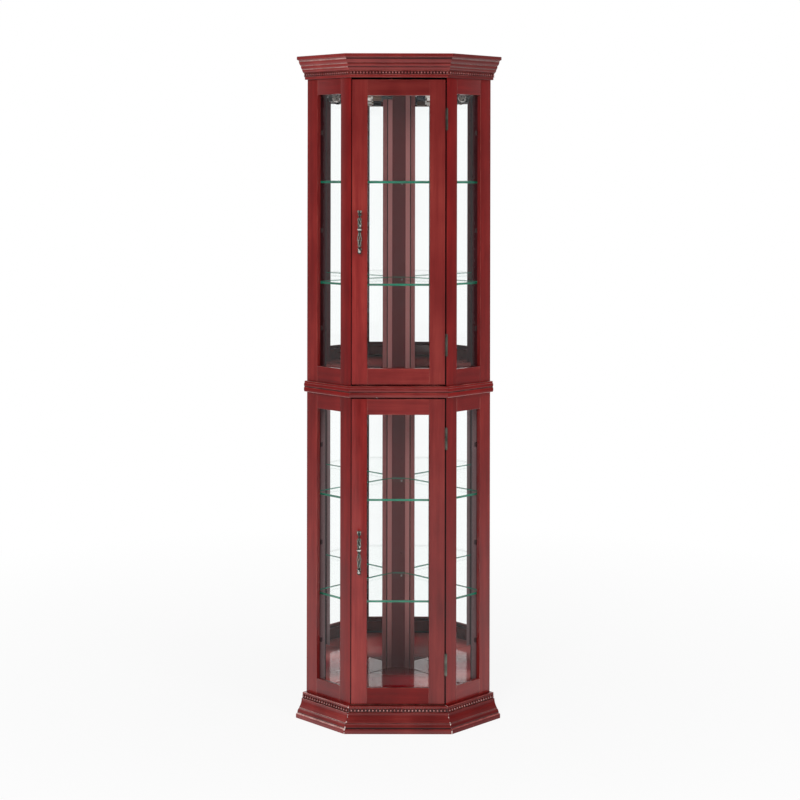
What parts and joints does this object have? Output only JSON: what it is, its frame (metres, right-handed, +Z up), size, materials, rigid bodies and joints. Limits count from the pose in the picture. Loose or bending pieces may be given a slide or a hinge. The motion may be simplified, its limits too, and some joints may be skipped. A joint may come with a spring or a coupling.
{
  "type": "corner curio cabinet",
  "caption": "Tall corner display cabinet with glazed doors one above the other, glazed angled sides, mirrored backs, glass shelves and moulded crown, waist and base.",
  "frame": {"origin": "on the floor under the middle of the cabinet's bounding box", "axes": "+Z up, -Y out of the doors towards a person using it, +X to that person's right; the rear corner points along +Y"},
  "size_m": [0.5662, 0.4148, 1.829],
  "materials": {
    "cherry_wood": "satin dark cherry stain",
    "painted_board": "dark cherry paint, satin",
    "clear_glass": "clear, polished",
    "shelf_glass": "clear with polished green edges",
    "silvered_mirror": "polished",
    "grey_plastic": "moulded, satin",
    "brown_plastic": "moulded, glossy",
    "black_plastic": "moulded, matte",
    "hinge_metal": "antiqued plating, satin",
    "pewter": "die-cast, antique pewter with rubbed highlights",
    "steel": "zinc plated",
    "lamp_enamel": "grey enamel",
    "frosted_glass": "frosted",
    "foil": "crinkled foil"
  },
  "bodies": {
    "cabinet": {"left_inner_stile": "cherry_wood", "right_inner_stile": "cherry_wood", "left_outer_stile": "cherry_wood", "right_outer_stile": "cherry_wood", "left_side_rails": "cherry_wood", "right_side_rails": "cherry_wood", "front_rails": "cherry_wood", "bottom_board": "cherry_wood", "middle_board": "cherry_wood", "ceiling_board": "cherry_wood", "top_board": "cherry_wood", "rear_corner_post": "cherry_wood", "crown_moulding": "cherry_wood", "waist_moulding": "cherry_wood", "base_moulding": "cherry_wood", "crown_bead_strip": "cherry_wood", "base_bead_strip": "cherry_wood", "left_back_panel": "painted_board", "lower_left_mirror": "silvered_mirror", "lower_left_pane": "clear_glass", "upper_left_mirror": "silvered_mirror", "upper_left_pane": "clear_glass", "right_back_panel": "painted_board", "lower_right_mirror": "silvered_mirror", "lower_right_pane": "clear_glass", "upper_right_mirror": "silvered_mirror", "upper_right_pane": "clear_glass", "shelf_1": "shelf_glass", "shelf_2": "shelf_glass", "shelf_3": "shelf_glass", "shelf_4": "shelf_glass", "shelf_pins": "steel", "side_pane_clips": "grey_plastic", "lamp_box": "lamp_enamel", "lamp_holders": "brown_plastic", "lamp_bulbs": "frosted_glass", "heat_shield": "foil", "lead_bush": "black_plastic", "hinge_frame_leaves": "hinge_metal", "hinge_pins": "hinge_metal", "door_catches": "brown_plastic", "cabinet_screws": "steel"},
    "lower_door": {"lower_door_stiles": "cherry_wood", "lower_door_rails": "cherry_wood", "lower_door_pane": "clear_glass", "lower_door_pane_clips": "grey_plastic", "lower_door_pull": "pewter", "lower_door_hinge_leaves": "hinge_metal", "lower_door_strike_plate": "steel", "lower_door_screws": "steel"},
    "upper_door": {"upper_door_stiles": "cherry_wood", "upper_door_rails": "cherry_wood", "upper_door_pane": "clear_glass", "upper_door_pane_clips": "grey_plastic", "upper_door_pull": "pewter", "upper_door_hinge_leaves": "hinge_metal", "upper_door_strike_plate": "steel", "upper_door_screws": "steel"}
  },
  "joints": [
    {"name": "lower_door_hinge", "type": "hinge", "parent": "cabinet", "child": "lower_door", "pos_m": [0.1295, -0.17067, 0.48245], "axis": [0, 0, 1], "range_deg": [0, 170]},
    {"name": "upper_door_hinge", "type": "hinge", "parent": "cabinet", "child": "upper_door", "pos_m": [0.1295, -0.17067, 1.34755], "axis": [0, 0, 1], "range_deg": [0, 170]}
  ]
}
